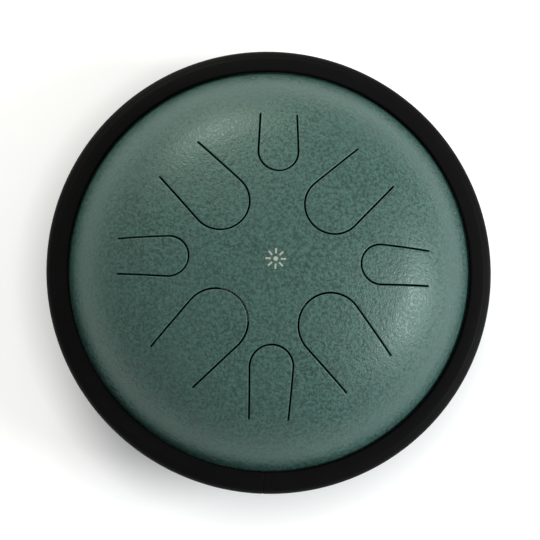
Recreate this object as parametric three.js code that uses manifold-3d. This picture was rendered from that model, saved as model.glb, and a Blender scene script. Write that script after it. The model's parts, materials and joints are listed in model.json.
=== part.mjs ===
// A steel tongue drum: two pressed steel shells joined at their flanges, a rubber trim over the joint, four
// screwed rubber feet and eight tongues cut in the top shell. Millimetres, +Z up, the feet stand on z = 0.
import * as THREE from "three";
import { mergeVertices } from "three/addons/utils/BufferGeometryUtils.js";
import Module from "manifold-3d";

const wasm = await Module();
wasm.setup();

// ---- Driving dimensions ----

// Each bowl is a spherical crown that runs into a tighter shoulder, whose wall meets the flange at wallSlope
// degrees.
const BOWL_RADIUS = 136.8;
const TOP_BOWL = { crownRadius: 300, shoulderRadius: 80, wallSlope: 71 };
const BOTTOM_BOWL = { crownRadius: 520, shoulderRadius: 75, wallSlope: 71 };
const SHEET = 1.5;
const FLANGE_WIDTH = 11.2;
const BOND_THICKNESS = 0.6;
const BOND_INSET = 1.0;
const GROUND_CLEARANCE = 10;

// The rubber trim: two lips that grip the flanges, and a round bead outside them.
const TRIM_WALL = 4.5;
const TRIM_LIP = 4.4;
const TRIM_LIP_CLEARANCE = 0.6;
const TRIM_LIP_ROUND = 1.5;
const TRIM_BEAD_RADIUS = 5.6;
const TRIM_BEAD_STEP = 0.6;

// The sound port in the middle of the bottom, with its edge rolled inwards.
const PORT_RADIUS = 34;
const PORT_ROLL = 5;
const PORT_NECK = 3;

// Tongues: the root and the tip are distances from the drum's axis, and the bearing is clockwise from +Y.
const SLIT = 1.4;
const ROOT_GAP = 0.3;
const TONGUES = [
  { name: "tongue_north", bearing: 0, root: 99.5, tip: 59.5, tipRadius: 13.3, rootHalfWidth: 12.3 },
  { name: "tongue_north_east", bearing: 45, root: 92.8, tip: 33.7, tipRadius: 19.3, rootHalfWidth: 17.3 },
  { name: "tongue_east", bearing: 90, root: 103.4, tip: 56.9, tipRadius: 13.3, rootHalfWidth: 11.8 },
  { name: "tongue_south_east", bearing: 138, root: 97, tip: 35.2, tipRadius: 21.5, rootHalfWidth: 19.3 },
  { name: "tongue_south", bearing: 180, root: 104, tip: 56, tipRadius: 14.4, rootHalfWidth: 13 },
  { name: "tongue_south_west", bearing: 222, root: 97, tip: 35.2, tipRadius: 21.5, rootHalfWidth: 19.3 },
  { name: "tongue_west", bearing: 270, root: 103.4, tip: 56.9, tipRadius: 13.3, rootHalfWidth: 11.8 },
  { name: "tongue_north_west", bearing: 315, root: 92.8, tip: 33.7, tipRadius: 19.3, rootHalfWidth: 17.3 },
];

// Feet and their fasteners. Each foot stands square to the sheet, and its sole is cut level.
const FOOT_COUNT = 4;
const FOOT_CIRCLE_RADIUS = 76;
const FOOT_TOP_RADIUS = 11;
const FOOT_SOLE_RADIUS = 13.5;
const FOOT_BORE_CLEARANCE = 0.5;
const RECESS_CLEARANCE = 0.8;
const RECESS_DEPTH = 6.5;
const SCREW_RADIUS = 2.0;
const SCREW_HOLE_CLEARANCE = 0.4;
const SCREW_END = 1.5;
const HEAD_RADIUS = 4.0;
const HEAD_HEIGHT = 2.6;
const SOCKET_RADIUS = 1.5;
const SOCKET_DEPTH = 1.6;
const WASHER_RADIUS = 5.4;
const WASHER_THICKNESS = 1.0;
const NUT_WALL = 1.64;
const NUT_HEIGHT = 3.2;

// Gap left between pieces that touch.
const SEAT_GAP = 0.3;

// How finely round shapes are divided.
const SHELL_SEGMENTS = 48;
const FOOT_SEGMENTS = 20;
const SCREW_SEGMENTS = 12;
const CROWN_STEPS = 5;
const SHOULDER_STEPS = 5;
const ROLL_STEPS = 3;
const BEAD_STEPS = 3;
const TIP_SEGMENTS = 8;

// ---- Sizes that follow from them ----

const FLANGE_RADIUS = BOWL_RADIUS + FLANGE_WIDTH;
const TRIM_RADIUS = FLANGE_RADIUS + TRIM_WALL;
const SCREW_HOLE_RADIUS = SCREW_RADIUS + SCREW_HOLE_CLEARANCE;
const FOOT_BORE_RADIUS = SCREW_RADIUS + FOOT_BORE_CLEARANCE;
const RECESS_RADIUS = WASHER_RADIUS + RECESS_CLEARANCE;
const NUT_RADIUS = SCREW_HOLE_RADIUS + NUT_WALL;
const radians = THREE.MathUtils.degToRad;
const SEAM_Z = GROUND_CLEARANCE + bowlHeight(BOTTOM_BOWL) + SHEET + BOND_THICKNESS / 2;
const TOP_FLANGE_Z = SEAM_Z + BOND_THICKNESS / 2 + SHEET;
const BOTTOM_FLANGE_Z = SEAM_Z - BOND_THICKNESS / 2 - SHEET;
const APEX_Z = TOP_FLANGE_Z + bowlHeight(TOP_BOWL);

// ---- Bowl geometry: heights are measured from the flange's outer face towards the crown ----

// Where the crown runs into the shoulder: the shoulder's arc starts on the crown's normal there, and reaches
// the bowl's radius with the wall at its slope.
function crownEdge({ crownRadius, shoulderRadius, wallSlope }) {
  const shoulderReach = shoulderRadius * Math.sin(radians(wallSlope));
  return (BOWL_RADIUS - shoulderReach) / (1 - shoulderRadius / crownRadius);
}

function bowlArcs(bowl) {
  const { crownRadius, shoulderRadius, wallSlope } = bowl;
  const edge = crownEdge(bowl);
  const edgeAngle = Math.asin(edge / crownRadius);
  const shoulder = {
    r: edge - shoulderRadius * Math.sin(edgeAngle),
    h: -shoulderRadius * Math.cos(radians(wallSlope)),
  };
  const crown = { h: shoulder.h - (crownRadius - shoulderRadius) * Math.cos(edgeAngle) };
  return { edge, edgeAngle, shoulder, crown };
}

function bowlHeight(bowl) {
  return bowlArcs(bowl).crown.h + bowl.crownRadius;
}

// Slope of the bowl, in radians, at a distance from the axis.
function bowlSlope(bowl, distance) {
  const { edge, shoulder } = bowlArcs(bowl);
  return distance <= edge
    ? Math.asin(distance / bowl.crownRadius)
    : Math.asin((distance - shoulder.r) / bowl.shoulderRadius);
}

function bowlHeightAt(bowl, distance) {
  const { edge, shoulder, crown } = bowlArcs(bowl);
  const slope = bowlSlope(bowl, distance);
  return distance <= edge
    ? crown.h + bowl.crownRadius * Math.cos(slope)
    : shoulder.h + bowl.shoulderRadius * Math.cos(slope);
}

function arc(centreR, centreH, radius, from, to, steps) {
  return Array.from({ length: steps + 1 }, (_, i) => {
    const angle = from + ((to - from) * i) / steps;
    return new THREE.Vector2(centreR + radius * Math.sin(angle), centreH + radius * Math.cos(angle));
  });
}

// One skin of the bowl, from startR out to the flange. depth is how far inside the outer skin it lies.
function bowlSkin(bowl, depth, startR) {
  const { edgeAngle, shoulder, crown } = bowlArcs(bowl);
  const crownSkin = bowl.crownRadius - depth;
  const shoulderSkin = bowl.shoulderRadius - depth;
  const foot = Math.acos((-depth - shoulder.h) / shoulderSkin);
  return [
    ...arc(0, crown.h, crownSkin, Math.asin(startR / crownSkin), edgeAngle, CROWN_STEPS),
    ...arc(shoulder.r, shoulder.h, shoulderSkin, edgeAngle, foot, SHOULDER_STEPS).slice(1),
  ];
}

// ---- Solids ----

function solidOf(geometry) {
  const bare = geometry.index ? geometry.toNonIndexed() : geometry.clone();
  bare.deleteAttribute("normal");
  bare.deleteAttribute("uv");
  const merged = mergeVertices(bare, 1e-4);
  return new wasm.Manifold(
    new wasm.Mesh({
      numProp: 3,
      vertProperties: merged.attributes.position.array,
      triVerts: new Uint32Array(merged.index.array),
    }),
  );
}

function geometryOf(solid) {
  const { vertProperties, triVerts } = solid.getMesh();
  const geometry = new THREE.BufferGeometry();
  geometry.setAttribute("position", new THREE.BufferAttribute(vertProperties, 3));
  geometry.setIndex(new THREE.BufferAttribute(triVerts, 1));
  geometry.computeVertexNormals();
  return geometry;
}

// Turns a closed profile of (radius, height) points about Z, with its faces outwards whichever way it runs.
function turned(profile, segments) {
  const points = THREE.ShapeUtils.isClockWise(profile) ? profile.slice().reverse() : profile;
  return new THREE.LatheGeometry(points, segments).rotateX(Math.PI / 2);
}

function ring(innerR, outerR, low, high, segments) {
  const corner = [
    new THREE.Vector2(innerR, low),
    new THREE.Vector2(outerR, low),
    new THREE.Vector2(outerR, high),
    new THREE.Vector2(innerR, high),
  ];
  return turned([...corner, corner[0].clone()], segments);
}

function rod(radius, low, high, segments) {
  return new THREE.CylinderGeometry(radius, radius, high - low, segments)
    .rotateX(Math.PI / 2)
    .translate(0, 0, (low + high) / 2);
}

function onAxis(height) {
  return new THREE.Vector2(0, height);
}

// ---- Top shell and its tongues ----

function topSheet() {
  const outer = bowlSkin(TOP_BOWL, 0, 0);
  const inner = bowlSkin(TOP_BOWL, SHEET, 0);
  outer[0] = onAxis(outer[0].y);
  inner[0] = onAxis(inner[0].y);
  const profile = [
    ...outer,
    new THREE.Vector2(FLANGE_RADIUS, 0),
    new THREE.Vector2(FLANGE_RADIUS, -SHEET),
    ...inner.reverse(),
  ];
  return solidOf(turned(profile, SHELL_SEGMENTS).translate(0, 0, TOP_FLANGE_Z));
}

// Plan of a tongue: two straight legs that touch the round tip, grown outwards by grow and closed at rootY.
function tonguePlan({ tip, tipRadius, rootHalfWidth, root }, grow, rootY) {
  const radius = tipRadius + grow;
  const centreY = tip + tipRadius;
  const halfWidth = rootHalfWidth + grow;
  const reach = Math.hypot(halfWidth, root - centreY);
  const touch = Math.PI / 2 - Math.atan2(halfWidth, root - centreY) - Math.acos(radius / reach);
  const touchX = radius * Math.cos(touch);
  const touchY = centreY + radius * Math.sin(touch);
  const endX = touchX + ((halfWidth - touchX) * (rootY - touchY)) / (root - touchY);
  const plan = new THREE.Shape();
  plan.moveTo(-endX, rootY);
  plan.lineTo(-touchX, touchY);
  plan.absarc(0, centreY, radius, Math.PI - touch, 2 * Math.PI + touch, false);
  plan.lineTo(endX, rootY);
  plan.closePath();
  return plan;
}

function tonguePrism(tongue, grow, rootY) {
  const prism = new THREE.ExtrudeGeometry(tonguePlan(tongue, grow, rootY), {
    depth: APEX_Z - TOP_FLANGE_Z,
    bevelEnabled: false,
    curveSegments: TIP_SEGMENTS,
  });
  prism.translate(0, 0, TOP_FLANGE_Z + SHEET).rotateZ(-radians(tongue.bearing));
  return solidOf(prism);
}

function topShell() {
  const sheet = topSheet();
  const slots = TONGUES.map((tongue) => tonguePrism(tongue, SLIT / 2, tongue.root + ROOT_GAP));
  return {
    shell: slots.reduce((left, slot) => left.subtract(slot), sheet),
    tongues: TONGUES.map((tongue) => sheet.intersect(tonguePrism(tongue, -SLIT / 2, tongue.root))),
  };
}

// ---- Bottom shell ----

// The port's rolled edge starts on the crown and turns into an upright neck.
function rolledEdge(depth) {
  const start = PORT_RADIUS + PORT_ROLL;
  const slope = bowlSlope(BOTTOM_BOWL, start);
  const centreR = start - PORT_ROLL * Math.sin(slope);
  const centreH = bowlHeightAt(BOTTOM_BOWL, start) - PORT_ROLL * Math.cos(slope);
  const radius = PORT_ROLL - depth;
  const roll = arc(centreR, centreH, radius, -Math.PI / 2, slope, ROLL_STEPS);
  return [new THREE.Vector2(centreR - radius, centreH - PORT_NECK), ...roll];
}

function bottomShell(stations) {
  const crownStart = PORT_RADIUS + PORT_ROLL;
  const outer = [...rolledEdge(0), ...bowlSkin(BOTTOM_BOWL, 0, crownStart).slice(1)];
  const inner = [...rolledEdge(SHEET), ...bowlSkin(BOTTOM_BOWL, SHEET, crownStart).slice(1)];
  const profile = [
    ...outer,
    new THREE.Vector2(FLANGE_RADIUS, 0),
    new THREE.Vector2(FLANGE_RADIUS, -SHEET),
    ...inner.reverse(),
  ].map(({ x, y }) => new THREE.Vector2(x, -y));
  profile.push(profile[0].clone());
  const sheet = solidOf(turned(profile, SHELL_SEGMENTS).translate(0, 0, BOTTOM_FLANGE_Z));
  return stations.reduce((left, station) => {
    station.updateMatrixWorld();
    const drill = rod(SCREW_HOLE_RADIUS, -2 * SHEET, 3 * SHEET, SCREW_SEGMENTS);
    return left.subtract(solidOf(drill.applyMatrix4(station.matrixWorld)));
  }, sheet);
}

// ---- Joint between the shells ----

function flangeBond() {
  const low = SEAM_Z - BOND_THICKNESS / 2;
  const high = SEAM_Z + BOND_THICKNESS / 2;
  return ring(BOWL_RADIUS, FLANGE_RADIUS - BOND_INSET, low, high, SHELL_SEGMENTS);
}

// Upper half of the trim's section, from the lip's grip face out to the bead's rim at height 0.
function trimHalf() {
  const grip = BOND_THICKNESS / 2 + SHEET + SEAT_GAP;
  const lipInner = BOWL_RADIUS + TRIM_LIP_CLEARANCE;
  const lipTop = grip + TRIM_LIP;
  const beadR = TRIM_RADIUS - TRIM_BEAD_RADIUS;
  const stepAngle = Math.asin(TRIM_BEAD_STEP / TRIM_BEAD_RADIUS);
  const bead = arc(beadR, 0, TRIM_BEAD_RADIUS, stepAngle, Math.PI / 2, BEAD_STEPS);
  return [
    new THREE.Vector2(lipInner, grip),
    ...arc(lipInner + TRIM_LIP_ROUND, lipTop - TRIM_LIP_ROUND, TRIM_LIP_ROUND, -Math.PI / 2, 0, 2),
    new THREE.Vector2(beadR, lipTop),
    new THREE.Vector2(beadR + TRIM_BEAD_STEP, lipTop - TRIM_BEAD_STEP),
    ...bead,
  ];
}

function rimTrim() {
  const upper = trimHalf();
  const lower = upper.slice(0, -1).reverse();
  const grip = upper[0].y;
  const slotEnd = FLANGE_RADIUS + SEAT_GAP;
  const profile = [
    ...upper,
    ...lower.map(({ x, y }) => new THREE.Vector2(x, -y)),
    new THREE.Vector2(slotEnd, -grip),
    new THREE.Vector2(slotEnd, grip),
    upper[0].clone(),
  ];
  return turned(profile, SHELL_SEGMENTS).translate(0, 0, SEAM_Z);
}

// ---- Feet ----

// A foot's own frame: its origin is on the bottom shell's outer skin, and its +Z points into the drum.
const FOOT_TILT = bowlSlope(BOTTOM_BOWL, FOOT_CIRCLE_RADIUS);
const FOOT_SEAT_Z = BOTTOM_FLANGE_Z - bowlHeightAt(BOTTOM_BOWL, FOOT_CIRCLE_RADIUS);
const FOOT_LENGTH = FOOT_SEAT_Z / Math.cos(FOOT_TILT);
const RECESS_FLOOR = RECESS_DEPTH - FOOT_LENGTH;
const WASHER_TOP = RECESS_FLOOR - SEAT_GAP;
const HEAD_TOP = WASHER_TOP - WASHER_THICKNESS - SEAT_GAP;
// A nut's flat base bridges the curve of the bowl, so it stands higher by the curve's rise at its corners.
const NUT_RISE = NUT_RADIUS ** 2 / (2 * BOTTOM_BOWL.shoulderRadius);
const NUT_BASE = SHEET + SEAT_GAP + NUT_RISE;

function footStation(index) {
  const bearing = (2 * Math.PI * (index + 0.5)) / FOOT_COUNT;
  const station = new THREE.Group();
  station.rotation.set(0, -FOOT_TILT, bearing, "ZYX");
  station.position.set(
    FOOT_CIRCLE_RADIUS * Math.cos(bearing),
    FOOT_CIRCLE_RADIUS * Math.sin(bearing),
    FOOT_SEAT_Z,
  );
  return station;
}

function footBody() {
  const below = -FOOT_LENGTH - FOOT_SOLE_RADIUS;
  const blank = turned(
    [
      new THREE.Vector2(FOOT_BORE_RADIUS, -SEAT_GAP),
      new THREE.Vector2(FOOT_TOP_RADIUS - 1, -SEAT_GAP),
      new THREE.Vector2(FOOT_TOP_RADIUS, -SEAT_GAP - 1),
      new THREE.Vector2(FOOT_SOLE_RADIUS, -FOOT_LENGTH + 2),
      new THREE.Vector2(FOOT_SOLE_RADIUS, below),
      new THREE.Vector2(RECESS_RADIUS, below),
      new THREE.Vector2(RECESS_RADIUS, RECESS_FLOOR),
      new THREE.Vector2(FOOT_BORE_RADIUS, RECESS_FLOOR),
      new THREE.Vector2(FOOT_BORE_RADIUS, -SEAT_GAP),
    ],
    FOOT_SEGMENTS,
  );
  const ground = new THREE.BoxGeometry(10 * FOOT_SOLE_RADIUS, 10 * FOOT_SOLE_RADIUS, 4 * FOOT_SOLE_RADIUS);
  ground.translate(0, 0, -2 * FOOT_SOLE_RADIUS);
  ground.rotateY(FOOT_TILT).translate(0, 0, -FOOT_LENGTH);
  return geometryOf(solidOf(blank).subtract(solidOf(ground)));
}

function footScrew() {
  const bottom = HEAD_TOP - HEAD_HEIGHT;
  const body = turned(
    [
      onAxis(bottom),
      new THREE.Vector2(HEAD_RADIUS - 0.8, bottom),
      new THREE.Vector2(HEAD_RADIUS, bottom + 0.8),
      new THREE.Vector2(HEAD_RADIUS, HEAD_TOP),
      new THREE.Vector2(SCREW_RADIUS, HEAD_TOP),
      new THREE.Vector2(SCREW_RADIUS, NUT_BASE + NUT_HEIGHT + SCREW_END),
      onAxis(NUT_BASE + NUT_HEIGHT + SCREW_END),
    ],
    SCREW_SEGMENTS,
  );
  const socket = rod(SOCKET_RADIUS, bottom - SOCKET_DEPTH, bottom + SOCKET_DEPTH, 6);
  return geometryOf(solidOf(body).subtract(solidOf(socket)));
}

function footNut() {
  const hexagon = solidOf(rod(NUT_RADIUS, NUT_BASE, NUT_BASE + NUT_HEIGHT, 6));
  const bore = solidOf(rod(SCREW_HOLE_RADIUS, NUT_BASE - 1, NUT_BASE + NUT_HEIGHT + 1, SCREW_SEGMENTS));
  return geometryOf(hexagon.subtract(bore));
}

function footWasher() {
  return ring(FOOT_BORE_RADIUS, WASHER_RADIUS, WASHER_TOP - WASHER_THICKNESS, WASHER_TOP, FOOT_SEGMENTS);
}

// ---- Assembly ----

const shellPaint = new THREE.MeshStandardMaterial({ color: 0x547169, roughness: 0.5, metalness: 0.35 });
const rubber = new THREE.MeshStandardMaterial({ color: 0x0e0e10, roughness: 0.6, metalness: 0 });
const bondResin = new THREE.MeshStandardMaterial({ color: 0x3c3c3a, roughness: 0.5, metalness: 0 });
const zincSteel = new THREE.MeshStandardMaterial({ color: 0xb9bcc0, roughness: 0.35, metalness: 1 });

const drum = new THREE.Group();

function add(parent, name, geometry, material) {
  const mesh = new THREE.Mesh(geometry, material);
  mesh.name = name;
  parent.add(mesh);
}

const stations = Array.from({ length: FOOT_COUNT }, (_, index) => footStation(index));
const { shell, tongues } = topShell();
add(drum, "top_shell", geometryOf(shell), shellPaint);
tongues.forEach((tongue, i) => add(drum, TONGUES[i].name, geometryOf(tongue), shellPaint));
add(drum, "bottom_shell", geometryOf(bottomShell(stations)), shellPaint);
add(drum, "flange_bond", flangeBond(), bondResin);
add(drum, "rim_trim", rimTrim(), rubber);

const footPieces = [
  ["foot", footBody(), rubber],
  ["foot_washer", footWasher(), zincSteel],
  ["foot_screw", footScrew(), zincSteel],
  ["foot_nut", footNut(), zincSteel],
];
stations.forEach((station, index) => {
  footPieces.forEach(([name, geometry, material]) => {
    add(station, `${name}_${index + 1}`, geometry, material);
  });
  drum.add(station);
});

export default drum;
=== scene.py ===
"""A steel tongue drum, built around its CAD frame piece by piece, in the order that it is put together.

Everything is in metres, +Z up. The drum stands on its feet at z = 0 and the player sits on the -Y side.
"""

import json
import math

import bmesh
import bpy
import numpy as np
from mathutils import Matrix, Vector


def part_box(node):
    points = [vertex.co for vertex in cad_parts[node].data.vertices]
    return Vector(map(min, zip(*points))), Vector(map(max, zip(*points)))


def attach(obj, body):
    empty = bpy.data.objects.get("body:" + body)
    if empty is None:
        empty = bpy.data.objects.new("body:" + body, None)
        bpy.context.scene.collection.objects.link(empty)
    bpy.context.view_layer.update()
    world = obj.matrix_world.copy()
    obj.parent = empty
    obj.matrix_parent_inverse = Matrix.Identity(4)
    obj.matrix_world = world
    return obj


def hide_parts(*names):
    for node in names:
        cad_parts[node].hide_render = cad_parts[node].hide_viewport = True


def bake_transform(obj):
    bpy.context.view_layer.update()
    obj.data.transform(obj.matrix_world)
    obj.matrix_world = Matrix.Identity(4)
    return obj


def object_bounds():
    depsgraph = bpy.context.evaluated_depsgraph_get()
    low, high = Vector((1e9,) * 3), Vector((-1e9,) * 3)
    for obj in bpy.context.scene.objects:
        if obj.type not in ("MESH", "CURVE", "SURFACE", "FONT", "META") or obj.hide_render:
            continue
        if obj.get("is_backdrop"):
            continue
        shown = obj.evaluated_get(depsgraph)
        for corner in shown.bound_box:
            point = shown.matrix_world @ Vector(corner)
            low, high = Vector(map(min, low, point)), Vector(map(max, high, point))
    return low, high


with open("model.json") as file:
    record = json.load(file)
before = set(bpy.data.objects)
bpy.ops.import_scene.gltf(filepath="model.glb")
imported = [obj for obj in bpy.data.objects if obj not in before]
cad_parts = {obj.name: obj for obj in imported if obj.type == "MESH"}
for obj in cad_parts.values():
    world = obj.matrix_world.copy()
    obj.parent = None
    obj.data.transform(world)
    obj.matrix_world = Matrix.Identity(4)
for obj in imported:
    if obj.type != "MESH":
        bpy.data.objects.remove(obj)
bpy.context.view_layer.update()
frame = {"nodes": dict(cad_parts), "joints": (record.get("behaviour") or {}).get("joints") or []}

# ---------------------------------------------------------------------------------------------------------
# Bottom shell: a bowl pressed from 1.5 mm steel, powder coated a dull grey-green. The sound port's edge is
# rolled inwards, and the flat flange takes the top shell.
# ---------------------------------------------------------------------------------------------------------

SHEET = 0.0015
BOWL_RADIUS = 0.1368
WALL_SLOPE = math.radians(71)
BOTTOM_BOWL = {"crown": 0.520, "shoulder": 0.075}
PORT_RADIUS = 0.034
PORT_ROLL = 0.005
PORT_NECK = 0.003
FLANGE_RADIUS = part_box("top_shell")[1].x
FLANGE_FILLET = 0.0025
FILLET_FOOT = 0.0012
FILLET_LIFT = 0.0002
WALL_STOP = 0.0008
NECK_CHAMFER = 0.0004
TURN_STEPS = 256
GROUND_GREEN = (0.034, 0.086, 0.072)


def bowl_arcs(bowl):
    """The crown's arc is centred on the axis. The shoulder's arc continues it, and ends at the bowl's radius
    with the wall at its slope. Returns the radius where they meet, then the distance of the shoulder's centre
    from the axis, its height, and the height of the crown's centre."""
    crown, shoulder = bowl["crown"], bowl["shoulder"]
    edge = (BOWL_RADIUS - shoulder * math.sin(WALL_SLOPE)) / (1 - shoulder / crown)
    edge_slope = math.asin(edge / crown)
    shoulder_r = edge - shoulder * math.sin(edge_slope)
    shoulder_h = -shoulder * math.cos(WALL_SLOPE)
    crown_h = shoulder_h - (crown - shoulder) * math.cos(edge_slope)
    return edge, shoulder_r, shoulder_h, crown_h


def bowl_slope(bowl, radius):
    """Slope of the bowl in radians at a distance from the axis: the arc sine of the distance from the arc's
    own centre over the arc's radius."""
    edge, shoulder_r, _, _ = bowl_arcs(bowl)
    crown_slope = np.arcsin(np.clip(radius / bowl["crown"], -1, 1))
    shoulder_slope = np.arcsin(np.clip((radius - shoulder_r) / bowl["shoulder"], -1, 1))
    return np.where(radius <= edge, crown_slope, shoulder_slope)


def bowl_skin(bowl, x, y, depth):
    """Points of the bowl above (x, y), pushed in by depth along the surface's own normal. Heights are
    measured from the flange's outer face towards the crown."""
    radius = np.maximum(np.hypot(x, y), 1e-9)
    slope = bowl_slope(bowl, radius)
    edge, _, shoulder_h, crown_h = bowl_arcs(bowl)
    height = np.where(
        radius <= edge,
        crown_h + bowl["crown"] * np.cos(slope),
        shoulder_h + bowl["shoulder"] * np.cos(slope),
    )
    inward = 1 - depth * np.sin(slope) / radius
    return np.stack([x * inward, y * inward, height - depth * np.cos(slope)], axis=-1)


def arc(centre, radius, start, end, steps):
    """Points (r, z) on an arc about a centre, from one angle to another, measured from +Z towards +R."""
    angle = np.linspace(start, end, steps + 1)
    return np.stack([centre[0] + radius * np.sin(angle), centre[1] + radius * np.cos(angle)], axis=-1)


def grid_faces(rows, columns, wrap_rows=False, wrap_columns=False):
    """Quads that join a grid of rows by columns of points, closed on itself along either way if asked."""
    row = np.arange(rows if wrap_rows else rows - 1)
    column = np.arange(columns if wrap_columns else columns - 1)
    a, b = np.meshgrid(row, column, indexing="ij")
    a2, b2 = (a + 1) % rows, (b + 1) % columns
    quads = [a * columns + b, a * columns + b2, a2 * columns + b2, a2 * columns + b]
    return np.stack(quads, axis=-1).reshape(-1, 4)


def piece(name, patches, material, body, replaced, edge_wear_and_glint=None, sharp=32):
    """Joins patches, each a (points, faces) pair, into one closed mesh: doubles are merged, faces turned
    outwards, and edges sharper than the given angle kept crisp. The piece rides on a body, and stands for a
    CAD node. The per-point values, if given, are kept as an attribute that the paint reads: where they are
    1 the paint is paler, partly for a coat that has thinned over a cut edge and partly as a painted
    highlight."""
    starts = np.cumsum([0] + [len(points) for points, _ in patches])
    points = np.concatenate([points for points, _ in patches])
    faces = [f.tolist() for (_, quads), s in zip(patches, starts) for f in quads + s]
    mesh = bpy.data.meshes.new(name)
    mesh.from_pydata(points.tolist(), [], faces)
    if edge_wear_and_glint is not None:
        mesh.attributes.new("worn_edge_and_glint", "FLOAT", "POINT").data.foreach_set("value", edge_wear_and_glint.astype(np.float32))
    built = bmesh.new()
    built.from_mesh(mesh)
    bmesh.ops.remove_doubles(built, verts=built.verts, dist=2e-6)
    bmesh.ops.dissolve_degenerate(built, edges=built.edges, dist=1e-6)
    bmesh.ops.recalc_face_normals(built, faces=built.faces)
    built.to_mesh(mesh)
    built.free()
    mesh.shade_smooth()
    mesh.set_sharp_from_angle(angle=math.radians(sharp))
    mesh.materials.append(material)
    made = bpy.data.objects.new(name, mesh)
    bpy.context.scene.collection.objects.link(made)
    if body:
        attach(made, body)
    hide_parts(replaced)
    return made


def turned(profile, steps=TURN_STEPS, closed=False):
    """Carries a profile of (radius, height) points round Z: x = r cos t, y = r sin t."""
    angle = np.arange(steps) * 2 * math.pi / steps
    r, z = profile[:, 0][:, None], profile[:, 1][:, None]
    points = np.stack([r * np.cos(angle), r * np.sin(angle), np.broadcast_to(z, (len(r), steps))], axis=-1)
    return points.reshape(-1, 3), grid_faces(len(r), steps, wrap_rows=closed, wrap_columns=True)


class Finish:
    """Short names for building one node material."""

    def __init__(self, name):
        self.material = bpy.data.materials.new(name)
        self.material.use_nodes = True
        self.tree = self.material.node_tree
        self.shader = self.tree.nodes["Principled BSDF"]
        self.place = self.node("ShaderNodeTexCoord").outputs["Object"]

    def node(self, kind, **settings):
        made = self.tree.nodes.new(kind)
        for key, value in settings.items():
            setattr(made, key, value)
        return made

    def join(self, source, socket):
        self.tree.links.new(source, socket)

    def noise(self, size, detail=3.0, roughness=0.55, stretch=None):
        """Noise whose grains are about size metres across."""
        made = self.node("ShaderNodeTexNoise")
        made.inputs["Scale"].default_value = 1 / size
        made.inputs["Detail"].default_value = detail
        made.inputs["Roughness"].default_value = roughness
        place = self.place
        if stretch:
            mapping = self.node("ShaderNodeMapping")
            mapping.inputs["Scale"].default_value = stretch
            self.join(place, mapping.inputs["Vector"])
            place = mapping.outputs["Vector"]
        self.join(place, made.inputs["Vector"])
        return made.outputs["Fac"]

    def grains(self, size):
        """Round cells about size metres across, as distances from their middles."""
        made = self.node("ShaderNodeTexVoronoi")
        made.inputs["Scale"].default_value = 1 / size
        self.join(self.place, made.inputs["Vector"])
        return made.outputs["Distance"]

    def ramp(self, source, stops):
        """Maps a 0 to 1 value through (position, value) stops, as a number."""
        made = self.node("ShaderNodeValToRGB")
        elements = made.color_ramp.elements
        while len(elements) < len(stops):
            elements.new(0.5)
        for element, (position, value) in zip(elements, stops):
            element.position = position
            element.color = (value, value, value, 1)
        self.join(source, made.inputs["Fac"])
        return made.outputs["Color"]

    def mix(self, share, first, second, blend="MIX"):
        """Mixes two colours, or a socket and a colour, by a share that is a number or a socket."""
        made = self.node("ShaderNodeMix", data_type="RGBA", blend_type=blend)
        for socket, value in ((made.inputs[0], share), (made.inputs[6], first), (made.inputs[7], second)):
            if isinstance(value, bpy.types.NodeSocket):
                self.join(value, socket)
            elif isinstance(value, (int, float)):
                socket.default_value = value
            else:
                socket.default_value = (*value, 1)
        return made.outputs[2]

    def number(self, operation, *values):
        """One math node on sockets or plain numbers."""
        made = self.node("ShaderNodeMath", operation=operation)
        for socket, value in zip(made.inputs, values):
            if isinstance(value, bpy.types.NodeSocket):
                self.join(value, socket)
            else:
                socket.default_value = value
        return made.outputs[0]

    def sum(self, first, second, scale):
        """first + second * scale."""
        return self.number("MULTIPLY_ADD", second, scale, first)

    def bump(self, layers):
        """Stacks bumps, each (height socket, height in metres)."""
        normal = None
        for source, height in layers:
            made = self.node("ShaderNodeBump")
            made.inputs["Strength"].default_value = 1.0
            made.inputs["Distance"].default_value = height
            self.join(source, made.inputs["Height"])
            if normal:
                self.join(normal, made.inputs["Normal"])
            normal = made.outputs["Normal"]
        self.join(normal, self.shader.inputs["Normal"])

    def set(self, **values):
        for key, value in values.items():
            self.shader.inputs[key.replace("_", " ")].default_value = value


PEBBLE_SIZE = 0.0013
PEBBLE_HEIGHT = 0.00011
WAVE_SIZE = 0.0030
WAVE_HEIGHT = 0.00036


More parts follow.
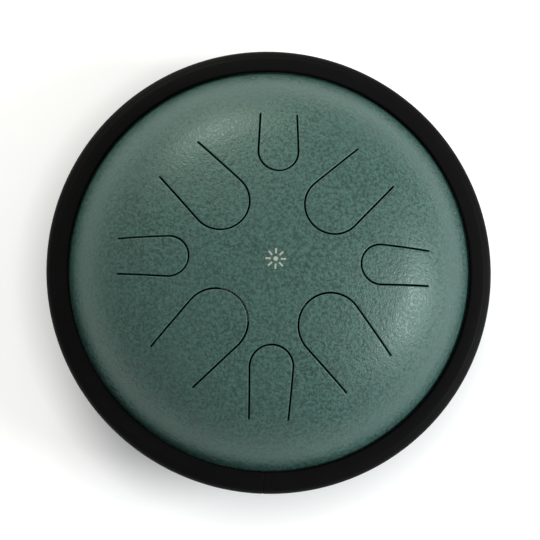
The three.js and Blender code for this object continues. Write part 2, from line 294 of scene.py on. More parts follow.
def powder_coat(name, colour, printed=False):
    """Grey-green powder coat: low round pebbles over broader waves, a sandy mottle that follows them, slow
    cloudy changes of shade, and a paler line along each rounded cut edge, partly where the coat thins and
    partly a painted highlight on that edge. The printed coat carries the small ornament at the dome's centre."""
    r = Finish(name)
    dark = tuple(c * 0.58 for c in colour)
    light = tuple(c * 1.48 for c in colour)
    grey = (colour[0] * 1.25, colour[1] * 1.05, colour[2] * 1.12)
    pebbles = r.grains(PEBBLE_SIZE)
    sand = r.ramp(r.sum(r.noise(0.0022, 3, 0.6), pebbles, -0.30), [(0.20, 0.0), (0.50, 1.0)])
    cloud = r.ramp(r.noise(0.035, 3, 0.5), [(0.35, 0.0), (0.7, 1.0)])
    mottled = r.mix(sand, dark, light)
    clouded = r.mix(r.ramp(cloud, [(0, 0.0), (1, 0.35)]), mottled, grey)
    specks = r.ramp(r.grains(0.0024), [(0.0, 0.8), (0.16, 0.0)])
    speckled = r.mix(specks, clouded, tuple(c * 2.2 for c in colour))
    if printed:
        speckled = r.mix(centre_ornament(r), speckled, (0.46, 0.47, 0.40))
    # Painted highlight and thinned coat on the cut edges: where the edge attribute is 1, the colour turns
    # much paler.
    worn_edge_and_glint = r.node("ShaderNodeAttribute", attribute_name="worn_edge_and_glint").outputs["Fac"]
    edge_lit_and_worn = r.mix(r.ramp(worn_edge_and_glint, [(0.1, 0.0), (0.9, 0.7)]), speckled, tuple(c * 2.4 for c in grey))
    r.join(edge_lit_and_worn, r.shader.inputs["Base Color"])
    rough = r.sum(0.34, sand, 0.22)
    r.join(r.sum(rough, cloud, 0.05), r.shader.inputs["Roughness"])
    r.bump([(r.noise(WAVE_SIZE, 3, 0.55), WAVE_HEIGHT), (pebbles, -PEBBLE_HEIGHT)])
    r.set(Metallic=0.0, IOR=1.6, Specular_Tint=(0.82, 1.0, 0.91, 1))
    return r.material


STROKE_HALF_WIDTH = 0.00055
STROKE_START = 0.0034
STROKE_END = 0.0068
DOT_RADIUS = 0.0015
INK_COVER = 0.85


def centre_ornament(r):
    """Share of print at a place: a dot, and eight short strokes round it that point away from it. Near a
    stroke's axis, the sine of four times the angle times the radius is four times the distance from it."""
    place = r.node("ShaderNodeSeparateXYZ")
    r.join(r.place, place.inputs[0])
    x, y = place.outputs[0], place.outputs[1]
    radius = r.number("SQRT", r.sum(r.number("MULTIPLY", x, x), r.number("MULTIPLY", y, y), 1.0))
    off_axis = r.number("ABSOLUTE", r.number("SINE", r.number("MULTIPLY", r.number("ARCTAN2", y, x), 4.0)))
    aside = r.number("MULTIPLY", off_axis, radius)
    stroke = r.number("LESS_THAN", aside, STROKE_HALF_WIDTH * 4)
    beyond = r.number("GREATER_THAN", radius, STROKE_START)
    within = r.number("LESS_THAN", radius, STROKE_END)
    band = r.number("MULTIPLY", beyond, within)
    dot = r.number("LESS_THAN", radius, DOT_RADIUS)
    return r.number("MULTIPLY", r.number("MAXIMUM", r.number("MULTIPLY", stroke, band), dot), INK_COVER)


paint = powder_coat("grey_green_powder_coat", GROUND_GREEN)


def bottom_profile():
    """Section of the bottom shell as one closed loop of (radius, height below the flange): the rolled port,
    the bowl, a small fillet into the flange, and the same again one sheet further in."""
    start = PORT_RADIUS + PORT_ROLL
    slope = float(bowl_slope(BOTTOM_BOWL, np.array(start)))
    point = bowl_skin(BOTTOM_BOWL, np.array([start]), np.array([0.0]), 0.0)[0]
    centre = (point[0] - PORT_ROLL * math.sin(slope), point[2] - PORT_ROLL * math.cos(slope))
    outline = []
    for depth in (0.0, SHEET):
        roll = arc(centre, PORT_ROLL - depth, -math.pi / 2, slope, 14)
        neck = np.array([[roll[0, 0], centre[1] - PORT_NECK + NECK_CHAMFER * (depth == 0)]])
        radius = np.linspace(start, BOWL_RADIUS - (WALL_STOP if depth == 0 else 0.0), 60)[1:]
        bowl = bowl_skin(BOTTOM_BOWL, radius, np.zeros_like(radius), depth)[:, [0, 2]]
        bowl = bowl[bowl[:, 1] > -depth + FILLET_FOOT]
        flange = np.array([
            [BOWL_RADIUS + FILLET_FOOT, -depth + FILLET_LIFT],
            [BOWL_RADIUS + FLANGE_FILLET, -depth],
            [FLANGE_RADIUS, -depth],
        ])
        outline.append(np.concatenate([neck, roll, bowl, flange]))
    return np.concatenate([outline[0], outline[1][::-1]])


bond_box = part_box("flange_bond")
TOP_FLANGE_Z = bond_box[1].z + SHEET
BOTTOM_FLANGE_Z = bond_box[0].z - SHEET
section = bottom_profile()
section[:, 1] = BOTTOM_FLANGE_Z - section[:, 1]
piece("bowl_with_port", [turned(section, closed=True)], paint, "shell", "bottom_shell")

# ---------------------------------------------------------------------------------------------------------
# Flange bond: the bead of structural adhesive that joins the two flanges all the way round. It is squeezed
# between them and hidden by the trim, so its CAD ring stays, with a cured resin finish.
# ---------------------------------------------------------------------------------------------------------


def cured_resin():
    """Grey adhesive with trowelled streaks and a few trapped bubbles."""
    r = Finish("cured_resin")
    streaks = r.noise(0.004, 4, 0.6)
    bubbles = r.ramp(r.grains(0.0015), [(0.0, 1.0), (0.15, 0.0)])
    r.join(r.mix(streaks, (0.035, 0.035, 0.033), (0.075, 0.074, 0.070)), r.shader.inputs["Base Color"])
    r.join(r.sum(0.35, streaks, 0.3), r.shader.inputs["Roughness"])
    r.bump([(streaks, 0.0002), (bubbles, 0.0001)])
    return r.material


bond = frame["nodes"]["flange_bond"]
bond.data.materials.clear()
bond.data.materials.append(cured_resin())

# ---------------------------------------------------------------------------------------------------------
# Top shell: the playing dome, pressed from the same sheet and coated like the bowl. A thin slit is cut round
# the tip and sides of each tongue, and the coat rounds over the slit's edges.
# ---------------------------------------------------------------------------------------------------------

TOP_BOWL = {"crown": 0.300, "shoulder": 0.080}
SLIT = 0.0014
COAT_ROUND = 0.0003
CENTRE_RADIUS = 0.020
SHOULDER_START = 0.1165
ROOT_STEPS, END_STEPS, LEG_STEPS, TIP_SIDE_STEPS, TIP_FRONT_STEPS = 20, 6, 22, 12, 18
TONGUES = {
    "tongue_north": {"tip": 0.0595, "tip_radius": 0.0133, "root_half": 0.0123},
    "tongue_north_east": {"tip": 0.0337, "tip_radius": 0.0193, "root_half": 0.0173},
    "tongue_east": {"tip": 0.0569, "tip_radius": 0.0133, "root_half": 0.0118},
    "tongue_south_east": {"tip": 0.0352, "tip_radius": 0.0215, "root_half": 0.0193},
    "tongue_south": {"tip": 0.0560, "tip_radius": 0.0144, "root_half": 0.0130},
    "tongue_south_west": {"tip": 0.0352, "tip_radius": 0.0215, "root_half": 0.0193},
    "tongue_west": {"tip": 0.0569, "tip_radius": 0.0133, "root_half": 0.0118},
    "tongue_north_west": {"tip": 0.0337, "tip_radius": 0.0193, "root_half": 0.0173},
}
for joint in frame["joints"]:
    x, y, z = joint["pos_m"]
    TONGUES[joint["child"]]["root"] = math.hypot(x, y)
    TONGUES[joint["child"]]["bearing"] = math.atan2(x, y) % (2 * math.pi)


def leg_touch(tongue, grow):
    """Where a tongue's straight leg touches its round tip, as an angle below the tip's widest line, once the
    outline is grown by grow. The leg runs from the root's corner and is tangent to the tip."""
    centre = tongue["tip"] + tongue["tip_radius"]
    half, rise = tongue["root_half"] + grow, tongue["root"] - centre
    reach = math.hypot(half, rise)
    return math.pi / 2 - math.atan2(half, rise) - math.acos((tongue["tip_radius"] + grow) / reach)


def tongue_side(tongue, grow):
    """One side of a tongue's outline in its own plane, from the root's corner along the leg and round the tip
    to its front: points, and their outward directions. y runs out to the rim and x across."""
    touch = leg_touch(tongue, grow)
    radius = tongue["tip_radius"] + grow
    centre = tongue["tip"] + tongue["tip_radius"]
    angle = np.linspace(touch, -math.pi / 2, TIP_SIDE_STEPS + TIP_FRONT_STEPS // 2 + 1)
    outward = np.stack([np.cos(angle), np.sin(angle)], axis=-1)
    tip = np.array([0, centre]) + radius * outward
    corner = np.array([tongue["root_half"] + grow, tongue["root"]])
    share = np.linspace(0, 1, LEG_STEPS + 1)[:-1, None]
    leg = corner + (tip[0] - corner) * share
    return np.concatenate([leg, tip]), np.concatenate([np.broadcast_to(outward[0], leg.shape), outward])


def mirrored(points):
    return points * np.array([-1, 1])


def hole_outline(tongue):
    """The shell's cut edge round one tongue, as a closed loop: the root line, a round slit end, one side of
    the slit, and back up the other. Also each point's direction into the metal, and how rounded it is."""
    half = tongue["root_half"] - SLIT / 2
    root = tongue["root"]
    line = np.stack([np.linspace(half, -half, ROOT_STEPS + 1), np.full(ROOT_STEPS + 1, root)], axis=-1)
    side, outward = tongue_side(tongue, SLIT / 2)
    turn = np.linspace(0, math.pi, END_STEPS + 1)[1:-1]
    end_out = np.stack([np.cos(turn), np.sin(turn)], axis=-1)
    right_end = np.array([tongue["root_half"], root]) + SLIT / 2 * end_out
    left_end = mirrored(right_end)[::-1]
    points = np.concatenate([right_end, line, left_end, mirrored(side), side[::-1][1:]])
    line_out = np.broadcast_to([0.0, 1.0], line.shape)
    left_out = mirrored(end_out)[::-1]
    directions = np.concatenate([end_out, line_out, left_out, mirrored(outward), outward[::-1][1:]])
    end_round = np.linspace(1, 0, END_STEPS + 1)[1:-1]
    sides = np.ones(2 * len(side) - 1)
    roundness = np.concatenate([end_round, np.zeros(len(line)), end_round[::-1], sides])
    return points, directions, roundness


def turn_to(bearing, points):
    """Turns points of a tongue's own plane to the tongue's bearing, clockwise from +Y."""
    c, s = math.cos(bearing), math.sin(bearing)
    return points[..., 0] * c + points[..., 1] * s, points[..., 1] * c - points[..., 0] * s


def sector_edges(order):
    """Bearings that part neighbouring tongues: the middle of the gap between one slit's furthest point
    clockwise and the next one's furthest point anticlockwise."""
    spread = [math.asin((t["tip_radius"] + SLIT / 2) / (t["tip"] + t["tip_radius"])) for t in order]
    edges = []
    for i, tongue in enumerate(order):
        following = order[(i + 1) % len(order)]
        gap = (following["bearing"] - tongue["bearing"]) % (2 * math.pi)
        edges.append(tongue["bearing"] + (gap + spread[i] - spread[(i + 1) % len(order)]) / 2)
    return edges


def rim_of_sector(start, end):
    """The sector's own outline, point for point with the hole's: the outer arc above the root, then down one
    straight side, along the inner arc below the tip and up the other side. start is anticlockwise."""
    outer = np.linspace(end, start, ROOT_STEPS + 2 * END_STEPS + 1)
    inner = np.linspace(start, end, TIP_FRONT_STEPS + 1)
    down = np.linspace(SHOULDER_START, CENTRE_RADIUS, LEG_STEPS + TIP_SIDE_STEPS + 1)
    side = np.ones(len(down) - 1)
    bearing = np.concatenate([outer[1:], start * side, inner[1:], end * side])
    radius = np.concatenate([np.full(len(outer) - 1, SHOULDER_START), down[1:],
                             np.full(len(inner) - 1, CENTRE_RADIUS), down[::-1][1:]])
    return np.stack([radius * np.sin(bearing), radius * np.cos(bearing)], axis=-1)


def sheet_rows():
    """How the top shell is crossed from its underside, up the slit's wall and over the rounded edge to the
    top: for each row, the share of the way from slit to sector rim, the set-back from the wall and the depth
    below the skin, both in coat roundings, and whether the paint is paler there, partly for a thinned coat
    and partly as a painted highlight."""
    spread = np.linspace(0, 1, 15)[1:] ** 1.25
    quarter = np.linspace(math.pi / 2, 0, 5)
    rows = [(s, 0, 0, 0, 1) for s in spread[::-1]]
    rows += [(0, 0, 0, 0, 1)]
    rows += [(0, 1 - math.sin(a), 1 - math.cos(a), math.sin(a) > 0.05, 0) for a in quarter]
    rows += [(s, 1, 0, 0, 0) for s in spread]
    return np.array(rows, float)


def sector_patch(tongue, start, end):
    """One sector of the dome as a closed-loop grid: columns run round the hole, rows cross the sheet."""
    hole, into_metal, roundness = hole_outline(tongue)
    x, y = turn_to(tongue["bearing"], hole)
    dx, dy = turn_to(tongue["bearing"], into_metal)
    rim = rim_of_sector(start, end)
    share, set_back, depth, _, under = (column[:, None] for column in sheet_rows().T)
    rounding = COAT_ROUND * roundness
    from_x, from_y = x + dx * set_back * rounding, y + dy * set_back * rounding
    px = from_x + (rim[:, 0] - from_x) * share
    py = from_y + (rim[:, 1] - from_y) * share
    below = np.where(under > 0, SHEET, depth * rounding)
    points = bowl_skin(TOP_BOWL, px, py, below)
    # Edge attribute for the paint: 1 on the rounded cut edges, where the paint is paler, partly a thinned
    # coat and partly a painted highlight.
    thin_coat_and_glint = sheet_rows()[:, 3][:, None] * (roundness > 0.5)
    return points.reshape(-1, 3), grid_faces(len(share), len(hole), wrap_columns=True), thin_coat_and_glint.ravel()


def skin_patch(bearings, radii, depth):
    """A ring or disc of the dome between radii, with columns at the given bearings."""
    r, b = np.meshgrid(radii, bearings, indexing="ij")
    points = bowl_skin(TOP_BOWL, r * np.sin(b), r * np.cos(b), depth)
    return points.reshape(-1, 3), grid_faces(len(radii), len(bearings), wrap_columns=True)


def top_shell_patches():
    order = sorted(TONGUES.values(), key=lambda tongue: tongue["bearing"])
    edges = sector_edges(order)
    patches, worn_edge_and_glint = [], []
    inner, outer = [], []
    for i, tongue in enumerate(order):
        start, end = edges[i - 1], edges[i]
        start -= 2 * math.pi * (start > end)
        points, faces, thin_coat_and_glint = sector_patch(tongue, start, end)
        patches.append((points, faces))
        worn_edge_and_glint.append(thin_coat_and_glint)
        inner.append(np.linspace(start, end, TIP_FRONT_STEPS + 1)[:-1])
        outer.append(np.linspace(start, end, ROOT_STEPS + 2 * END_STEPS + 1)[:-1])
    inner, outer = np.concatenate(inner), np.concatenate(outer)
    centre_radii = np.linspace(0, CENTRE_RADIUS, 12)
    wall_radii = np.linspace(SHOULDER_START, BOWL_RADIUS - WALL_STOP, 22)
    for depth in (0.0, SHEET):
        patches.append(skin_patch(inner, centre_radii, depth))
        patches.append(skin_patch(outer, wall_radii, depth))
    rim = np.stack([np.sin(outer), np.cos(outer)], axis=-1)
    top_edge = patches[-3][0].reshape(len(wall_radii), -1, 3)[-1]
    low_edge = patches[-1][0].reshape(len(wall_radii), -1, 3)[-1]
    fillet = [
        (BOWL_RADIUS + FILLET_FOOT, FILLET_LIFT),
        (BOWL_RADIUS + FLANGE_FILLET, 0.0),
        (FLANGE_RADIUS, 0.0),
    ]
    rings = [top_edge] + [np.column_stack([rim * r, np.full(len(rim), z)]) for r, z in fillet]
    under = [(FLANGE_RADIUS, -SHEET), (BOWL_RADIUS, -SHEET)]
    rings += [np.column_stack([rim * r, np.full(len(rim), z)]) for r, z in under] + [low_edge]
    patches.append((np.concatenate(rings), grid_faces(len(rings), len(rim), wrap_columns=True)))
    total = sum(len(points) for points, _ in patches)
    thin_coat_and_glint = np.concatenate(worn_edge_and_glint)
    return patches, np.concatenate([thin_coat_and_glint, np.zeros(total - len(thin_coat_and_glint))])


def lifted(patches, height):
    return [(points + np.array([0, 0, height]), faces) for points, faces in patches]


dome_patches, dome_edge_wear_and_glint = top_shell_patches()
printed_paint = powder_coat("grey_green_powder_coat_printed", GROUND_GREEN, printed=True)
piece("slotted_dome", lifted(dome_patches, TOP_FLANGE_Z), printed_paint, "shell", "top_shell",
      dome_edge_wear_and_glint)

# ---------------------------------------------------------------------------------------------------------
# Tongues: what the slits leave free. Each is one sheet with the dome at its root, where it bends, and has
# the same coat, rounded over its edge.
# ---------------------------------------------------------------------------------------------------------

ROUNDING_STARTS = 3


def tongue_patches(tongue):
    """A tongue lofted from root to tip. Each station is a loop: across the top, over the right edge and down
    its wall, back across the underside, and up the left. The stations close to a point at the tip's front,
    and a cap closes the root."""
    side, outward = tongue_side(tongue, -SLIT / 2)
    stations = len(side)
    growth = np.minimum(np.arange(stations) / ROUNDING_STARTS, 1) * COAT_ROUND
    inset = side - outward * growth[:, None]
    across = np.linspace(-1, 1, ROOT_STEPS + 1)
    quarter = np.linspace(0, math.pi / 2, 5)[1:]
    columns_x = [inset[:, 0] * u for u in across]
    columns_y = [inset[:, 1]] * len(across)
    depths = [np.zeros(stations)] * len(across)
    edge_x = [inset[:, 0] + outward[:, 0] * growth * math.sin(a) for a in quarter]
    edge_y = [inset[:, 1] + outward[:, 1] * growth * math.sin(a) for a in quarter]
    edge_depth = [growth * (1 - math.cos(a)) for a in quarter]
    columns_x += edge_x + [side[:, 0] * u for u in across[::-1]] + [-x for x in edge_x[::-1]]
    columns_y += edge_y + [side[:, 1]] * len(across) + edge_y[::-1]
    depths += edge_depth + [np.full(stations, SHEET)] * len(across) + edge_depth[::-1]
    local = np.stack([np.stack(columns_x, axis=-1), np.stack(columns_y, axis=-1)], axis=-1)
    x, y = turn_to(tongue["bearing"], local)
    points = bowl_skin(TOP_BOWL, x, y, np.stack(depths, axis=-1))
    loop = points.shape[1]
    faces = grid_faces(stations, loop, wrap_columns=True)
    top = np.arange(ROOT_STEPS)
    low = 2 * ROOT_STEPS + 1 + len(quarter) - top
    cap = np.stack([top, top + 1, low - 1, low], axis=-1)
    # Edge attribute for the paint: 1 on the tongue's rounded edges, where the paint is paler, partly a
    # thinned coat and partly a painted highlight.
    thin_coat_and_glint = np.zeros((stations, loop))
    rounded = list(range(len(across), len(across) + 4)) + list(range(loop - 4, loop))
    thin_coat_and_glint[ROUNDING_STARTS:, rounded] = 1
    return [(points.reshape(-1, 3), np.concatenate([faces, cap]))], thin_coat_and_glint.ravel()


for name, tongue in TONGUES.items():
    patches, edge_wear_and_glint = tongue_patches(tongue)
    made = piece(name + "_blade", lifted(patches, TOP_FLANGE_Z), paint, None, name, edge_wear_and_glint)
    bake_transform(made)

# ---------------------------------------------------------------------------------------------------------
# Rim trim: one length of black rubber edging, pushed over both flanges until its two lips grip them. Its
# ends meet in a butt joint at the player's side, and a round bead runs round the outside.
# ---------------------------------------------------------------------------------------------------------

TRIM_LIP_INNER = BOWL_RADIUS + 0.0006
TRIM_LIP_ROUND = 0.0015
TRIM_BEAD_RADIUS = 0.0056
TRIM_STEP = 0.0006
TRIM_GRIP = 0.0021
trim_low, trim_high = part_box("rim_trim")
TRIM_RADIUS = trim_high.x
SEAM_Z = (trim_low.z + trim_high.z) / 2
TRIM_LIP_TOP = trim_high.z - SEAM_Z
LIP_FALL = 0.00035
LIP_STOP = 0.0005
GRIP_CHAMFER = 0.0003
JOINT_BEARING = math.radians(-90)
JOINT_REACH = 0.02
JOINT_WIDTH = 0.00022
JOINT_DIP = 0.00035


def trim_half():
    """Upper half of the trim's section from the grip face, over the lip and its crown, down a small step and
    round the bead to the middle."""
    bead_r = TRIM_RADIUS - TRIM_BEAD_RADIUS
    corner_centre = (TRIM_LIP_INNER + TRIM_LIP_ROUND, TRIM_LIP_TOP - TRIM_LIP_ROUND)
    corner = arc(corner_centre, TRIM_LIP_ROUND, -math.pi / 2, 0, 8)
    across = np.linspace(0, 1, 12)[1:]
    lip_end = bead_r - LIP_STOP
    flat_r = corner[-1, 0] + (lip_end - corner[-1, 0]) * across
    flat = np.stack([flat_r, TRIM_LIP_TOP - LIP_FALL * across**3], axis=-1)
    fall = np.linspace(0, 1, 6)[1:-1]
    start_angle = math.asin(min(1, 2 * TRIM_STEP / TRIM_BEAD_RADIUS))
    bead = arc((bead_r, 0), TRIM_BEAD_RADIUS, start_angle, math.pi / 2, 26)
    drop_r = flat[-1, 0] + (bead[0, 0] - flat[-1, 0]) * fall
    smooth = fall * fall * (3 - 2 * fall)
    drop = np.stack([drop_r, flat[-1, 1] + (bead[0, 1] - flat[-1, 1]) * smooth], axis=-1)
    grip = np.array([[TRIM_LIP_INNER + GRIP_CHAMFER, TRIM_GRIP], [TRIM_LIP_INNER, TRIM_GRIP + GRIP_CHAMFER]])
    return np.concatenate([grip, corner, flat, drop, bead])


def trim_section():
    upper = trim_half()
    lower = upper[:-1][::-1] * np.array([1, -1])
    slot_end = FLANGE_RADIUS + GRIP_CHAMFER
    slot = np.array([[slot_end, -TRIM_GRIP], [slot_end, TRIM_GRIP]])
    return np.concatenate([upper, lower, slot])


def trim_patch():
    """The section carried round the drum. Columns crowd together at the butt joint, and there the skin dips
    by a third of a millimetre towards the section's middle."""
    near = np.tan(np.linspace(-1, 1, 41) * 1.2) / math.tan(1.2) * JOINT_REACH
    rest = np.linspace(JOINT_REACH, 2 * math.pi - JOINT_REACH, 361)
    around = np.concatenate([near[:-1], rest[:-1]]) + JOINT_BEARING
    distance = (around - JOINT_BEARING) * TRIM_RADIUS
    dip = np.exp(-((distance / JOINT_WIDTH) ** 2)) * JOINT_DIP
    section = trim_section()
    middle = np.array([(FLANGE_RADIUS + TRIM_RADIUS) / 2 - 0.003, 0.0])
    toward = middle - section
    toward /= np.linalg.norm(toward, axis=1)[:, None]
    toward[-2:] = 0
    r = section[:, 0][:, None] + toward[:, 0][:, None] * dip
    z = section[:, 1][:, None] + toward[:, 1][:, None] * dip + SEAM_Z
    points = np.stack([r * np.cos(around), r * np.sin(around), z], axis=-1)
    return points.reshape(-1, 3), grid_faces(len(section), len(around), wrap_rows=True, wrap_columns=True)


def black_rubber(name, tone, rough, grain):
    """Moulded black rubber: a warm near-black with a faint bloom, and a fine matt texture from the mould."""
    r = Finish(name)
    bloom = r.ramp(r.noise(0.018, 4, 0.6), [(0.35, 0.0), (0.75, 1.0)])
    fine = r.noise(grain, 3, 0.6)
    base = r.mix(fine, (tone * 0.8,) * 3, (tone * 1.25, tone * 1.24, tone * 1.22))
    r.join(r.mix(r.ramp(bloom, [(0, 0.0), (1, 0.35)]), base, (tone * 1.9, tone * 1.9, tone * 1.95)),
           r.shader.inputs["Base Color"])
    r.join(r.sum(r.sum(rough, fine, 0.10), bloom, 0.08), r.shader.inputs["Roughness"])
    r.bump([(fine, 0.00012), (r.noise(grain * 6, 2, 0.5), 0.0001)])
    r.shader.inputs["Specular IOR Level"].default_value = 0.07
    return r.material


trim_rubber = black_rubber("edging_rubber", 0.0026, 0.50, 0.0006)
piece("rubber_edging", [trim_patch()], trim_rubber, "shell", "rim_trim")

# ---------------------------------------------------------------------------------------------------------
# Feet: four moulded rubber bumpers. Each stands square to the bowl, its sole is level, and a deep recess
# takes the screw's head and its washer.
# ---------------------------------------------------------------------------------------------------------

FOOT_CIRCLE = 0.076
SEAT_GAP = 0.0003
FOOT_TOP_RADIUS = 0.0110
FOOT_SOLE_RADIUS = 0.0135
FOOT_BORE_RADIUS = 0.0025
RECESS_RADIUS = 0.0062
RECESS_DEPTH = 0.0065
SOLE_ROUND = 0.0009
GROOVE_DEPTH = 0.00030
GROOVES = 5
FOOT_TILT = float(bowl_slope(BOTTOM_BOWL, np.array(FOOT_CIRCLE)))
seat = bowl_skin(BOTTOM_BOWL, np.array([FOOT_CIRCLE]), np.array([0.0]), 0.0)[0]
FOOT_SEAT_Z = BOTTOM_FLANGE_Z - seat[2]
FOOT_LENGTH = FOOT_SEAT_Z / math.cos(FOOT_TILT)


def station(index):
    """Turns points of a foot's own frame, whose +Z runs into the drum, to its place on the bowl."""
    low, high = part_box(f"foot_{index}")
    bearing = math.atan2(low.y + high.y, low.x + high.x)
    turn = Matrix.Rotation(bearing, 3, "Z") @ Matrix.Rotation(-FOOT_TILT, 3, "Y")
    at = np.array([FOOT_CIRCLE * math.cos(bearing), FOOT_CIRCLE * math.sin(bearing), FOOT_SEAT_Z])
    return np.array(turn), at


def placed(patch, where):
    turn, at = where
    points, faces = patch
    return points @ turn.T + at, faces


def foot_patch(steps=96):
    """The foot's closed section turned round its own axis. Heights near the sole are counted from the ground
    plane, which the foot's axis meets at its tilt, so the sole comes out level."""
    upper = [(FOOT_BORE_RADIUS, -SEAT_GAP), (FOOT_TOP_RADIUS - 0.001, -SEAT_GAP),
             (FOOT_TOP_RADIUS - 0.0003, -SEAT_GAP - 0.0003), (FOOT_TOP_RADIUS, -SEAT_GAP - 0.001)]
    flare = np.linspace(0, 1, 12)[1:]
    swell = FOOT_TOP_RADIUS + (FOOT_SOLE_RADIUS - 0.0002 - FOOT_TOP_RADIUS) * flare**1.4
    sides = np.stack([swell, -SEAT_GAP - 0.001 + (-FOOT_LENGTH + 0.0045) * flare], axis=-1)
    fixed = np.concatenate([np.array(upper), sides])
    edge_turn = np.linspace(0.3, 1.57, 5)
    sole_r = [FOOT_SOLE_RADIUS] * 2 + list(FOOT_SOLE_RADIUS - SOLE_ROUND * (1 - np.cos(edge_turn)))
    sole_h = [0.0020, SOLE_ROUND] + list(SOLE_ROUND * (1 - np.sin(edge_turn)))
    ribs = np.linspace(FOOT_SOLE_RADIUS - 0.0012, RECESS_RADIUS + 0.0008, 41)[1:]
    groove = GROOVE_DEPTH * (0.5 - 0.5 * np.cos((np.arange(40) + 1) / 40 * 2 * math.pi * GROOVES))
    sole_r += list(ribs) + [RECESS_RADIUS + 0.0002, RECESS_RADIUS, RECESS_RADIUS]
    sole_h += list(groove) + [0.0, 0.0004, 0.0030]
    recess_floor = RECESS_DEPTH - FOOT_LENGTH
    inside = np.array([[RECESS_RADIUS, recess_floor], [FOOT_BORE_RADIUS, recess_floor]])
    angle = np.arange(steps) * 2 * math.pi / steps
    radius = np.concatenate([fixed[:, 0], sole_r, inside[:, 0]])[:, None]
    x, y = radius * np.cos(angle), radius * np.sin(angle)
    ground = (-FOOT_SEAT_Z - math.sin(FOOT_TILT) * x) / math.cos(FOOT_TILT)
    own = np.concatenate([fixed[:, 1], np.zeros(len(sole_h)), inside[:, 1]])[:, None] + 0 * x
    above = np.concatenate([np.zeros(len(fixed)), sole_h, np.zeros(len(inside))])[:, None]
    on_sole = (np.arange(len(radius)) >= len(fixed)) & (np.arange(len(radius)) < len(fixed) + len(sole_h))
    z = np.where(on_sole[:, None], ground + above, own)
    points = np.stack([x, y, z], axis=-1)
    return points.reshape(-1, 3), grid_faces(len(radius), steps, wrap_rows=True, wrap_columns=True)


foot_rubber = black_rubber("foot_rubber", 0.013, 0.52, 0.0009)
FEET = range(1, 5)
for index in FEET:
    piece(f"rubber_foot_{index}", [placed(foot_patch(), station(index))], foot_rubber, "shell",
          f"foot_{index}")

# ---------------------------------------------------------------------------------------------------------
# Foot fasteners: an M4 socket screw, a flat washer in the foot's recess and a hexagon nut inside the drum,
# all bright zinc plate. The nut pulls the foot against the bowl.
# ---------------------------------------------------------------------------------------------------------

WASHER_RADIUS = 0.0054
WASHER_THICKNESS = 0.0010
HEAD_RADIUS = 0.0040
HEAD_HEIGHT = 0.0026
SOCKET_APOTHEM = 0.0013
SOCKET_DEPTH = 0.0016
SCREW_RADIUS = 0.0020
THREAD_PITCH = 0.0007
THREAD_DEPTH = 0.00025
SCREW_END = 0.0015
NUT_APOTHEM = 0.0035
NUT_HEIGHT = 0.0032
NUT_BORE = 0.0024
NUT_THREAD_DEPTH = 0.00015
KNURLS = 24
KNURL_DEPTH = 0.018
NUT_CORNER = NUT_APOTHEM / math.cos(math.pi / 6)
NUT_RISE = NUT_CORNER**2 / (2 * BOTTOM_BOWL["shoulder"])
WASHER_TOP = RECESS_DEPTH - FOOT_LENGTH - SEAT_GAP
HEAD_TOP = WASHER_TOP - WASHER_THICKNESS - SEAT_GAP
NUT_BASE = SHEET + SEAT_GAP + NUT_RISE


def zinc_plate(name, brushed):
    """Bright zinc: pale blue-grey metal with the drawn or stamped grain, and duller in slow patches."""
    r = Finish(name)
    grain = r.noise(0.0011, 4, 0.65, stretch=brushed)
    patch = r.ramp(r.noise(0.003, 3, 0.5), [(0.3, 0.0), (0.75, 1.0)])
    base = r.mix(grain, (0.50, 0.51, 0.53), (0.70, 0.71, 0.73))
    dulled = r.mix(r.ramp(patch, [(0, 0.0), (1, 0.4)]), base, (0.42, 0.43, 0.42))
    r.join(dulled, r.shader.inputs["Base Color"])
    r.join(r.sum(r.sum(0.22, grain, 0.12), patch, 0.12), r.shader.inputs["Roughness"])
    r.bump([(grain, 0.00003)])
    r.set(Metallic=1.0)
    return r.material


zinc = zinc_plate("zinc_plate", (1, 1, 6))


def hexagon(angle, apothem):
    """Distance from the middle to a hexagon's side, along an angle."""
    return apothem / np.cos((angle + math.pi / 6) % (math.pi / 3) - math.pi / 6)


def washer_patch():
    low, high = WASHER_TOP - WASHER_THICKNESS, WASHER_TOP
    soft = 0.00015
    section = np.array([
        (FOOT_BORE_RADIUS, low + soft), (FOOT_BORE_RADIUS + soft, low), (WASHER_RADIUS - soft, low),
        (WASHER_RADIUS, low + soft), (WASHER_RADIUS, high - soft), (WASHER_RADIUS - soft, high),
        (FOOT_BORE_RADIUS + soft, high), (FOOT_BORE_RADIUS, high - soft),
    ])
    return turned(section, 96, closed=True)


def nut_patch(steps=96):
    """A hexagon whose corners are cut by a cone at both faces, with a countersunk, threaded bore."""
    angle = np.arange(steps) * 2 * math.pi / steps
    base, top = NUT_BASE, NUT_BASE + NUT_HEIGHT
    bevel = np.linspace(0.00005, 0.0005, 5)
    height = np.concatenate([[base], base + bevel, top - bevel[::-1], [top]])[:, None]
    from_face = np.minimum(height - base, top - height)
    cone = NUT_APOTHEM * 0.98 + from_face * math.tan(math.radians(60))
    outside = np.minimum(hexagon(angle, NUT_APOTHEM)[None, :], cone)
    turns = np.linspace(top, base, 49)[:, None]
    thread = np.abs((turns / THREAD_PITCH - angle / (2 * math.pi)) % 1 - 0.5) * 2 * NUT_THREAD_DEPTH
    mouth = np.clip(0.0004 - np.minimum(turns - base, top - turns), 0, None)
    inside = NUT_BORE + thread + mouth
    radius = np.concatenate([outside, inside])
    z = np.concatenate([height, turns]) + 0 * radius
    points = np.stack([radius * np.cos(angle), radius * np.sin(angle), z], axis=-1)
    return points.reshape(-1, 3), grid_faces(len(radius), steps, wrap_rows=True, wrap_columns=True)


